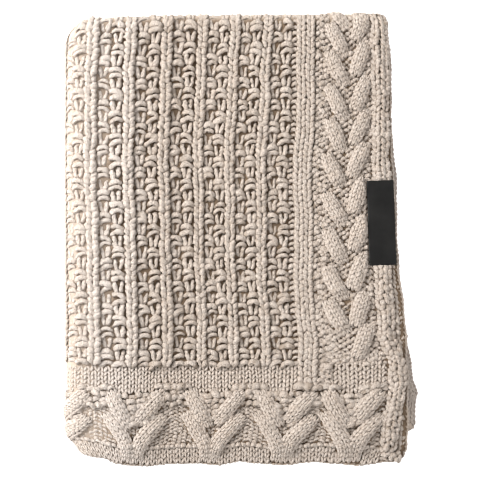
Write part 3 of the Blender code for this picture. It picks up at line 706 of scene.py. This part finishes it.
# The side border: two plain columns that stand up along the right edge, then a narrow gutter, and the edge
# stitches of the sheet. It leans to the right near the hem, where the cloth spreads.
BORDER = (
    (-249, 169.0), (-232, 161.4), (-209, 162.3), (-183, 167.8), (-159, 172.2), (-142, 171.7),
    (-129, 168.3), (-109, 159.0), (-67, 156.2), (43, 153.5), (158, 151.8), (300, 151.8),
)
BORDER_WIDE, BORDER_APART, BORDER_SHIFT = 9.6 * MM, 9.5 * MM, 0.6 * MM
BORDER_ROW, BORDER_UP, BORDER_ROUND = 5.6 * MM, 2.7 * MM, 0.8
BORDER_GUTTER, BORDER_GUTTER_WIDE, BORDER_GUTTER_UP = 13.0 * MM, 5.6 * MM, -0.6 * MM
SELVEDGE_FROM, SELVEDGE_WIDE, SELVEDGE_UP, SELVEDGE_TILT = 10.4 * MM, 6.4 * MM, -2.4 * MM, -0.5
RIGHT_SKIN = float(np.interp(np.interp(RIGHT_X, RUN_X[ABOVE], RUN[ABOVE]), RUN, SKIN))
border_rows = np.arange(HEM_C + 3 * MM, TOP_C + SKIN_TURN + 4 * MM, BORDER_ROW)
border_y = np.minimum(border_rows, TOP_C)
border_parts = []
for off in (-0.5, 0.5):
    middle, _ = skin_point(follow(border_y, BORDER) + BORDER_SHIFT + off * BORDER_APART, border_y)
    heading = np.arctan(np.gradient(middle, border_rows))
    tilt = -off * BORDER_ROUND
    table = stitches(middle, border_rows, HALF_CLOTH + BORDER_UP, BORDER_WIDE, BORDER_ROW, heading, tilt)
    border_parts.append(knit(table, plump=0.255, wild=1.1))
gutter, _ = skin_point(follow(border_y, BORDER) - BORDER_GUTTER, border_y)
table = stitches(gutter, border_rows, HALF_CLOTH + BORDER_GUTTER_UP, BORDER_GUTTER_WIDE, BORDER_ROW * 0.8)
border_parts.append(purl(table))
right_of_border, _ = skin_point(follow(border_y, BORDER) + SELVEDGE_FROM, border_y)
for row, start in zip(border_rows, right_of_border):
    count = max(1, int((RIGHT_SKIN - start) / SELVEDGE_WIDE))
    wide = (RIGHT_SKIN - start) / count
    across = start + wide * (np.arange(count) + 0.5)
    table = stitches(across, row, HALF_CLOTH + SELVEDGE_UP, wide, BORDER_ROW, 0.0, SELVEDGE_TILT)
    border_parts.append(knit(table))
border = yarn_piece("border", border_parts)

# The plain band and the wave cable under the field. The band is rows of small plain stitches. The wave is two
# ropes of plain stitches in a zigzag, one over the other, and the band goes on between its upper arms. Purl
# lumps stand at its high points and fine purl rows fill its triangles.
BAND_ROW, BAND_WIDE, BAND_UP = 4.84 * MM, 7.37 * MM, 0.3 * MM
BAND_Y = (-142.0, -146.9, -151.7, -156.5, -161.4)
BAND_FOOT_Y, BAND_FOOT_X, BAND_FOOT_UP = (-127.5, -132.3, -137.2), 97.5, 0.5 * MM
BESIDE_RIB_LEFT, BESIDE_RIB_RIGHT = 57.5 * MM, 86.0 * MM
BORDER_SIDE = 14.5 * MM
GRID_X, GRID_END = -150.0, -46 * MM
WAVE_VALLEYS = (-203.0, -118.3, -32.5, 46.2, 120.5)
WAVE_PEAKS = (-241.0, -159.5, -77.5, 6.0, 83.6, 160.0)
WAVE_UPPER = (
    ((-25.5, -166.5), (-14.5, -187.5), (-4.4, -206.8)),
    ((3.3, -202.0), (17.5, -185.0), (35.0, -167.5)),
)
WAVE_LOWER = (
    ((-29.7, -190.3), (-18.7, -206.8), (-9.0, -223.3), (-8.0, -246.0)),
    ((33.0, -193.6), (17.6, -210.0), (5.0, -226.0), (3.0, -246.0)),
)
WAVE_LOWER_ENDS, WAVE_UPPER_ENDS = (0.20, 0.45), (0.55, 0.55)
WAVE_HALF, WAVE_RISE, WAVE_PLUMP = 8.1 * MM, 7.0 * MM, 0.28
WAVE_LEFT, WAVE_STRETCH, WAVE_FOOT = -185.0, 1.5, 1.5 * MM
BETWEEN_Y, VALLEY_SHIFT = -166.2, 2.5
VALLEY_Y = (-171.5, -177.5, -183.5, -189.5, -195.5, -201.5)
PEAK_Y, PEAK_REACH = (-162.5, -168.5, -174.5, -180.5), 19.0 * MM
LUMP_WIDE, LUMP_TALL, LUMP_UP = 7.6 * MM, 6.0 * MM, 1.6 * MM
FILL_WIDE, FILL_ROW, FILL_UP, FILL_DROOP, FILL_FLAT = 5.2 * MM, 4.0 * MM, -0.8 * MM, 0.50, 26 * MM
FILL_Y = tuple(-160.0 - 4.0 * k for k in range(17))
FILL_BELOW_PEAK, FILL_ABOVE_BEADS = 2.5, 2 * MM
BEAD_Y, BEAD_ABOVE_HEM, BEAD_WIDE, BEAD_UP = -226.6, 18.4 * MM, 6.0 * MM, 0.8 * MM


def grid_of(x_first, wide, y_rows):
    """Places of a plain grid of stitches on the skin, from beyond the left fold to the border."""
    rows = []
    for y in y_rows:
        start, _ = skin_point(x_first * MM, y * MM)
        stop, _ = skin_point(follow(y * MM, BORDER) - BORDER_SIDE, y * MM)
        right = np.arange(float(start), float(stop), wide)
        left = np.arange(float(start) - wide, GRID_END, -wide)
        across = np.concatenate([left[::-1], right])
        seen_x = np.interp(np.interp(across, SKIN, RUN), RUN[ABOVE], SEEN[ABOVE])
        rows.append(np.stack([across, skin_point(seen_x, y * MM)[1]], axis=1))
    return np.concatenate(rows)


def band_stitches(places, up, plump):
    """Small plain stitches of the band, up from the cloth's face."""
    return knit(stitches(*places.T, HALF_CLOTH + up, BAND_WIDE, BAND_ROW), plump=plump, wild=0.6)


def wave_place(x, y):
    """The skin place of a turn of the wave. Beyond the left edge the rope runs on round the fold."""
    inside = max(x, WAVE_LEFT)
    across, along = skin_point(inside * MM, y * MM)
    return float(across) + WAVE_STRETCH * (x - inside) * MM, max(float(along), HEM_C + WAVE_FOOT)


def from_nearest(places, turns):
    """How far across each place lies from the nearest of the wave's turns."""
    away = places[:, :1] - turns
    return away[np.arange(len(away)), np.abs(away).argmin(axis=1)]


band_places = grid_of(GRID_X, BAND_WIDE, BAND_Y)
rib_left, _ = skin_point(bowed(BESIDE_RIB_LEFT, BAND_Y[0] * MM), BAND_Y[0] * MM)
rib_right, _ = skin_point(bowed(BESIDE_RIB_RIGHT, BAND_Y[0] * MM), BAND_Y[0] * MM)
beside_rib = (band_places[:, 0] < rib_left) | (band_places[:, 0] > rib_right)
band_parts = [band_stitches(band_places[beside_rib], BAND_UP, 0.205)]
foot_places = grid_of(BAND_FOOT_X, BAND_WIDE, BAND_FOOT_Y)
foot_places = foot_places[foot_places[:, 0] > rib_right + 3 * MM]
band_parts.append(band_stitches(foot_places, BAND_FOOT_UP, 0.205))
wave_parts = []
for arms, ends in ((WAVE_LOWER, WAVE_LOWER_ENDS), (WAVE_UPPER, WAVE_UPPER_ENDS)):
    for arm in arms:
        for valley in WAVE_VALLEYS:
            places = [wave_place(valley + x, y) for x, y in sorted(arm, key=lambda place: place[1])]
            wave_parts.append(cable_strand(places, WAVE_HALF, WAVE_RISE, ends, WAVE_PLUMP))
between = grid_of(GRID_X, BAND_WIDE, (BETWEEN_Y,))
valleys = np.array([wave_place(x + VALLEY_SHIFT, BETWEEN_Y)[0] for x in WAVE_VALLEYS])
peaks = np.array([wave_place(x, BETWEEN_Y)[0] for x in WAVE_PEAKS])
over_valley = np.abs(from_nearest(between, valleys)) < np.abs(from_nearest(between, peaks))
band_parts.append(band_stitches(between[over_valley & clear_of_strands(between, 0.7)], BAND_UP, 0.22))
band = yarn_piece("band", band_parts)
high_lumps = grid_of(GRID_X, LUMP_WIDE, PEAK_Y)
high_lumps = high_lumps[np.abs(from_nearest(high_lumps, peaks)) < PEAK_REACH]
low_lumps = grid_of(GRID_X, LUMP_WIDE, VALLEY_Y)
low_lumps = low_lumps[np.abs(from_nearest(low_lumps, peaks)) >= PEAK_REACH]
high_lumps = high_lumps[clear_of_strands(high_lumps, 0.75)]
low_lumps = low_lumps[clear_of_strands(low_lumps, 0.55)]
lumps = np.concatenate([high_lumps, low_lumps])
table = stitches(*lumps.T, HALF_CLOTH + LUMP_UP, LUMP_WIDE * 1.1, LUMP_TALL)
wave_parts.append(purl(table, plump=0.50, skew=0.2, wild=1.4))
fill_places = grid_of(GRID_X, FILL_WIDE, FILL_Y)
from_peak = from_nearest(fill_places, peaks)
fill_places[:, 1] -= FILL_DROOP * np.minimum(np.abs(from_peak), FILL_FLAT)
lowest = HEM_C + BEAD_ABOVE_HEM + FILL_ABOVE_BEADS
highest = skin_point(0.0, (PEAK_Y[-1] - FILL_BELOW_PEAK) * MM)[1]
shown = (fill_places[:, 1] > lowest) & (fill_places[:, 1] < highest) & clear_of_strands(fill_places, 0.55)
turned = np.sign(from_peak[shown]) * math.atan(FILL_DROOP)
table = stitches(*fill_places[shown].T, HALF_CLOTH + FILL_UP, FILL_WIDE * 1.1, FILL_ROW, turned)
wave_parts.append(purl(table, plump=0.42, wild=0.8))
beads = grid_of(GRID_X, BEAD_WIDE, (BEAD_Y,))
beads[:, 1] = HEM_C + BEAD_ABOVE_HEM
beads = beads[clear_of_strands(beads)]
wave_parts.append(purl(stitches(*beads.T, HALF_CLOTH + BEAD_UP, BEAD_WIDE * 0.9, FILL_ROW), plump=0.58))
wave = yarn_piece("wave", wave_parts)

# The hem: three plain rows that follow the wavy lower edge, with narrow columns that read as fine ribs. They
# are the first rows of the sheet, knitted in the same yarn.
HEM_WIDE, HEM_ROW, HEM_UP = 6.3 * MM, 5.4 * MM, 0.5 * MM
HEM_STOPS = 26 * MM


def crossings(across, along):
    """Places where columns and rows cross, one row after another."""
    return np.stack([g.ravel() for g in np.meshgrid(across, along)], axis=1)


hem_places = crossings(
    np.arange(GRID_END, RIGHT_SKIN - HEM_STOPS, HEM_WIDE), HEM_C + HEM_ROW * (np.arange(3) + 0.45)
)
hem_places = hem_places[clear_of_strands(hem_places, 0.9)]
table = stitches(*hem_places.T, HALF_CLOTH + HEM_UP, HEM_WIDE, HEM_ROW)
hem = yarn_piece("hem", [knit(table, plump=0.225, wild=0.6)])

# The cloth behind the stitches, where their yarn runs across at the back. It is the one closed sheet that
# all the stitches stand on, and it rises under the ribs and the cables.
LEFT_SKIN = float(np.interp(-np.interp(RIGHT_X, RUN_X[~ABOVE][::-1], -RUN[~ABOVE][::-1]), RUN, SKIN))
HEM_END = TOP_C + SKIN_TURN + TOP_C - HEM_C
GRID, COARSE_GRID, COARSE_END = 3.4 * MM, 12 * MM, -50 * MM
FIRST_STITCH, LAST_STITCH = -60 * MM, 4 * MM
GROUND_FACE = HALF_CLOTH - 0.4 * MM
GROUND_BELOW, GROUND_RISE = 1.6 * MM, 5 * MM
FOLD_SWELL, TURN_SWELL = 1.6 * MM, 2.3 * MM
# The ground's dark colour is painted shade between the stitches. It is eased where the cloth is stretched
# round the left fold and over the top turn, and it is gone on bare cloth.
STRETCHED_SHADE_EASE = 0.8
STITCH_REACH = 0.35
SHADE_DARK, SHADE_PALE, SHADE_OPEN = (0.15, 0.10, 0.065, 1), (0.26, 0.19, 0.13, 1), (0.66, 0.55, 0.46, 1)


def steps_of(*stops):
    """Positions from stop to stop, each stretch in equal steps of about its own length."""
    found = [stops[0]]
    for step, stop in zip(stops[1::2], stops[2::2]):
        count = max(1, round((stop - found[-1]) / step))
        found += list(found[-1] + (stop - found[-1]) * np.arange(1, count + 1) / count)
    return np.array(found)


def nearest(sorted_places, value):
    """The number of the place that lies nearest to each value."""
    i = np.clip(np.searchsorted(sorted_places, value), 1, len(sorted_places) - 1)
    return i - ((value - sorted_places[i - 1]) < (sorted_places[i] - value))


def raised_ground(across, along):
    """How far the cloth rises under the stitches, at the crossings of two lists of places."""
    table = np.concatenate(laid)
    rise = np.zeros((len(along), len(across)))
    for side, ahead in ((0, 0), (1, 0), (-1, 0), (0, 1), (0, -1)):
        i = nearest(across, table[:, 0] + side * STITCH_REACH * table[:, 12] * table[:, 6])
        j = nearest(along, table[:, 1] + ahead * STITCH_REACH * table[:, 13] * table[:, 4])
        np.maximum.at(rise, (j, i), table[:, 2] - HALF_CLOTH - GROUND_BELOW)
    soft = rise.copy()
    soft[1:-1, 1:-1] = (
        4 * rise[1:-1, 1:-1] + rise[:-2, 1:-1] + rise[2:, 1:-1] + rise[1:-1, :-2] + rise[1:-1, 2:]
    ) / 8
    return np.clip(soft, 0, GROUND_RISE)


def over_turn(along, peak, reach):
    """1 over the middle of the top turn, 0 beyond its reach."""
    return smooth(peak - np.abs(along - TOP_C - SKIN_TURN / 2) / reach)


def closed_sheet(name, right_side, wrong_side, wide, tall):
    """A closed sheet from the points of its two sides, which are tall rows of wide points."""
    r, k = np.meshgrid(np.arange(tall - 1), np.arange(wide - 1), indexing="ij")
    first = (r * wide + k).ravel()
    face = np.stack([first, first + 1, first + 1 + wide, first + wide], axis=1)
    rim = np.concatenate(
        [
            np.arange(wide - 1), np.arange(tall - 1) * wide + wide - 1,
            (tall - 1) * wide + np.arange(wide - 1, 0, -1), np.arange(tall - 1, 0, -1) * wide,
        ]
    )
    after = np.roll(rim, -1)
    shift = len(right_side)
    wall = np.stack([after, rim, rim + shift, after + shift], axis=1)
    return mesh_from(name, np.concatenate([right_side, wrong_side]), [face, face[:, ::-1] + shift, wall])


def ground_cloth():
    across = steps_of(LEFT_SKIN, COARSE_GRID, COARSE_END, GRID, RIGHT_SKIN)
    along = steps_of(HEM_C, GRID, TOP_C, GRID, TOP_C + SKIN_TURN, COARSE_GRID, HEM_END)
    rise = raised_ground(across, along)
    rise = rise + FOLD_SWELL * smooth((FOLD_PALE - across) / FOLD_PALE) * (along < TOP_C)[:, None]
    rise = (rise + TURN_SWELL * over_turn(along, 1.6, 9 * MM)[:, None]).ravel()
    a, b = crossings(across, along).T
    right_side = on_cloth(np.stack([a, b, np.full(len(a), GROUND_FACE) + rise], axis=1))
    wrong_side = on_cloth(np.stack([a, b, np.full(len(a), -GROUND_FACE)], axis=1))
    piece = closed_sheet("blanket_cloth", right_side, wrong_side, len(across), len(along))
    # Painted shade on the ground: eased round the left fold and over the top turn, and gone on bare cloth and
    # the back.
    stretched_shade_ease = STRETCHED_SHADE_EASE * smooth((FOLD_PALE - a) / FOLD_PALE)
    stretched_shade_ease = np.maximum(stretched_shade_ease, STRETCHED_SHADE_EASE * over_turn(b, 1.5, 8 * MM))
    plain = (a < FIRST_STITCH) | (b > TOP_C + SKIN_TURN + LAST_STITCH)
    light = np.concatenate([np.where(plain, 1.0, stretched_shade_ease), np.ones(len(a))])
    paint(piece, np.stack([light, light, light, np.ones(len(light))], axis=1))
    return piece


def ground_finish():
    """The back of the knit: the same yarn in shade, with a fine unevenness."""
    material, tree, shader = finish_of("yarn_in_shade")
    loops = pattern(tree, "ShaderNodeTexVoronoi", Scale=190.0).outputs["Distance"]
    fibre = pattern(tree, "ShaderNodeTexNoise", Scale=900.0, Detail=3.0).outputs["Fac"]
    shade = blend_colours(tree, fibre, SHADE_DARK, SHADE_PALE)
    tone = blend_colours(tree, lie_of(tree)[0], shade, SHADE_OPEN)
    tree.links.new(tone, shader.inputs["Base Color"])
    roughen(tree, shader, maths(tree, "ADD", loops, fibre), 0.8, 1.2 * MM, fibre, 0.85, 0.1)
    shader.inputs["Specular IOR Level"].default_value = 0.15
    return material


cloth = ground_cloth()
cloth.data.materials.append(ground_finish())
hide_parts("blanket")

# The edges: along both hems and both right edges of the sheet runs a chain of edge stitches that covers the
# thickness of the cloth, so each of the four layers ends in it.
EDGE_ROW, EDGE_WIDE, EDGE_OUT = 5.8 * MM, 6.0 * MM, 0.3 * MM


def edge_chain(across, along, outward):
    """Knit stitches along a line of the sheet's rim, which face outward in the plane of the cloth."""
    across, along = np.broadcast_arrays(across, along)
    points = np.stack([across, along, np.zeros(len(along))], axis=1)
    ahead = np.gradient(points, axis=0)
    ahead /= np.linalg.norm(ahead, axis=1, keepdims=True)
    out = np.broadcast_to(outward, ahead.shape)
    size = np.tile([EDGE_WIDE, EDGE_ROW], (len(points), 1))
    return np.concatenate([points + EDGE_OUT * out, ahead, np.cross(ahead, out), out, size], axis=1)


side_line = np.arange(HEM_C + EDGE_ROW, HEM_END - EDGE_ROW, EDGE_ROW)
hem_line = np.arange(LEFT_SKIN + EDGE_ROW, RIGHT_SKIN - EDGE_ROW, EDGE_ROW)
chains = [
    edge_chain(RIGHT_SKIN, side_line, (1, 0, 0)), edge_chain(LEFT_SKIN, side_line, (-1, 0, 0)),
    edge_chain(hem_line, HEM_C, (0, -1, 0)), edge_chain(hem_line, HEM_END, (0, 1, 0)),
]
edges = yarn_piece("edges", [knit(table, wild=0.6) for table in chains])

# The layer below, where it looks out past the right edge of the front and at the top turn: its own plain
# columns, in shadow. It is the other half of the same sheet.
UNDER_WIDE, UNDER_UP, UNDER_STARTS = 7.0 * MM, 0.2 * MM, 120 * MM
TURN_WIDE, TURN_UP = 7.2 * MM, 0.4 * MM
under_rows = np.arange(TOP_C + SKIN_TURN + UNDER_STARTS, HEM_END - 3 * MM, BORDER_ROW)
under_parts = []
for k in range(4):
    across = LEFT_SKIN + (k + 0.5) * UNDER_WIDE
    under_parts.append(knit(stitches(across, under_rows, HALF_CLOTH + UNDER_UP, UNDER_WIDE, BORDER_ROW)))
turn_rows = np.arange(TOP_C - 1.5 * ROW, TOP_C + SKIN_TURN + ROW, ROW)
turn_places = crossings(np.arange(LEFT_SKIN + 4 * MM, COARSE_END, TURN_WIDE), turn_rows)
under_parts.append(knit(stitches(*turn_places.T, HALF_CLOTH + TURN_UP, TURN_WIDE, ROW)))
under_layer = yarn_piece("under_layer", under_parts)

# The label: a woven black strip of polyester satin, left bare, sewn on over the side border at both ends. Its
# right edge rolls down a little with the cloth.
LABEL_THICK, LABEL_LIFT, LABEL_ROLL = 1.0 * MM, 3.5 * MM, 0.9 * MM
LABEL_TURN = math.radians(2.0)
LABEL_EDGE, LABEL_SOFT_HIGH, LABEL_SOFT_LOW = 0.8 * MM, 0.35 * MM, 0.2 * MM
LABEL_WAVE = 0.35 * MM
LABEL_POINTS = (29, 93)
SATIN_DARK, SATIN_PALE = (0.0005, 0.0005, 0.0005, 1), (0.0185, 0.0175, 0.0165, 1)


def label_strip():
    s, t = crossings(*(np.linspace(-0.5, 0.5, count) for count in LABEL_POINTS)).T
    x = LABEL_X + s * LABEL_WIDTH * math.cos(LABEL_TURN) - t * LABEL_LENGTH * math.sin(LABEL_TURN)
    y = LABEL_Y + s * LABEL_WIDTH * math.sin(LABEL_TURN) + t * LABEL_LENGTH * math.cos(LABEL_TURN)
    across, along = skin_point(x, y)
    z = on_cloth(np.stack([across, along, np.full(len(x), HALF_CLOTH)], axis=1))[:, 2]
    z = z + LABEL_LIFT - LABEL_ROLL * np.clip(s / 0.5, 0, 1) ** 2
    z = z + LABEL_WAVE * np.sin(9 * t + 2 * s) * np.cos(3 * s)
    edge = np.maximum(np.abs(s) * LABEL_WIDTH - (0.5 * LABEL_WIDTH - LABEL_EDGE), 0) / LABEL_EDGE
    high = np.stack([x, y - CENTRE_Y, z + LABEL_THICK - LABEL_SOFT_HIGH * edge**2], axis=1)
    low = np.stack([x, y - CENTRE_Y, z + LABEL_SOFT_LOW * edge**2], axis=1)
    return closed_sheet("label_strip", high, low, *LABEL_POINTS)


def label_finish():
    """Black polyester satin with a fine crosswise weave."""
    material, tree, shader = finish_of("black_satin")
    weft = pattern(tree, "ShaderNodeTexWave", bands_direction="Y", Scale=420.0, Distortion=0.6, Detail=1.0)
    cloud = pattern(tree, "ShaderNodeTexNoise", Scale=48.0, Detail=3.0).outputs["Fac"]
    tree.links.new(blend_colours(tree, cloud, SATIN_DARK, SATIN_PALE), shader.inputs["Base Color"])
    roughen(tree, shader, weft.outputs["Fac"], 0.35, 0.2 * MM, cloud, 0.40, 0.14)
    shader.inputs["Specular IOR Level"].default_value = 0.22
    return material


label = label_strip()
label.data.materials.append(label_finish())
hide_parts("label")

# The table top and the light: a plain white surface under a large soft light from the upper left, with the
# camera straight above, as the object is seen in the photograph.
FLOOR_WHITE, FLOOR_GLOW, FLOOR_DROP = (0.85, 0.85, 0.85, 1), 0.75, -0.4 * MM
ROOM_LIGHT = 0.62
FRAME_WIDE = 528.0 * MM
FRAME_CENTRE = (-1.65 * MM, -2.2 * MM)
LENS, SENSOR = 100.0, 36.0
TOP_PLANE = 30.0 * MM
bpy.ops.mesh.primitive_plane_add(size=6.0, location=(0, 0, FLOOR_DROP))
floor = bpy.context.object
floor.name = "floor"
white, _, white_shader = finish_of("white_floor")
white_shader.inputs["Base Color"].default_value = FLOOR_WHITE
white_shader.inputs["Roughness"].default_value = 0.9
white_shader.inputs["Emission Color"].default_value = (1.0, 1.0, 1.0, 1)
white_shader.inputs["Emission Strength"].default_value = FLOOR_GLOW
floor.data.materials.append(white)


def area_light(name, place, size, power, colour):
    """A square light that faces the middle of the object."""
    light = bpy.data.lights.new(name, "AREA")
    light.energy = power
    light.size = size
    light.color = colour
    lamp = bpy.data.objects.new(name, light)
    lamp.location = place
    direction = np.array(place) / np.linalg.norm(place)
    lamp.rotation_euler = (math.acos(direction[2]), 0, math.atan2(direction[0], -direction[1]))
    bpy.context.scene.collection.objects.link(lamp)


area_light("key", (-1.2, 0.65, 1.0), 0.8, 39.5, (1.0, 0.99, 0.975))
area_light("window", (-1.6, -0.1, 0.34), 1.0, 7.0, (1.0, 0.99, 0.985))
area_light("fill", (1.3, -0.7, 1.5), 1.6, 7.0, (0.97, 0.985, 1.0))
world = bpy.data.worlds.new("soft_room")
world.use_nodes = True
world.node_tree.nodes["Background"].inputs[0].default_value = (1.0, 1.0, 1.0, 1)
world.node_tree.nodes["Background"].inputs[1].default_value = ROOM_LIGHT
bpy.context.scene.world = world
bpy.context.scene.view_settings.view_transform = "Standard"
bpy.context.scene.cycles.filter_width = 1.2
camera_data = bpy.data.cameras.new("camera")
camera_data.lens = LENS
camera_data.sensor_width = SENSOR
camera = bpy.data.objects.new("camera", camera_data)
camera.location = (*FRAME_CENTRE, TOP_PLANE + FRAME_WIDE * LENS / SENSOR)
bpy.context.scene.collection.objects.link(camera)
bpy.context.scene.camera = camera
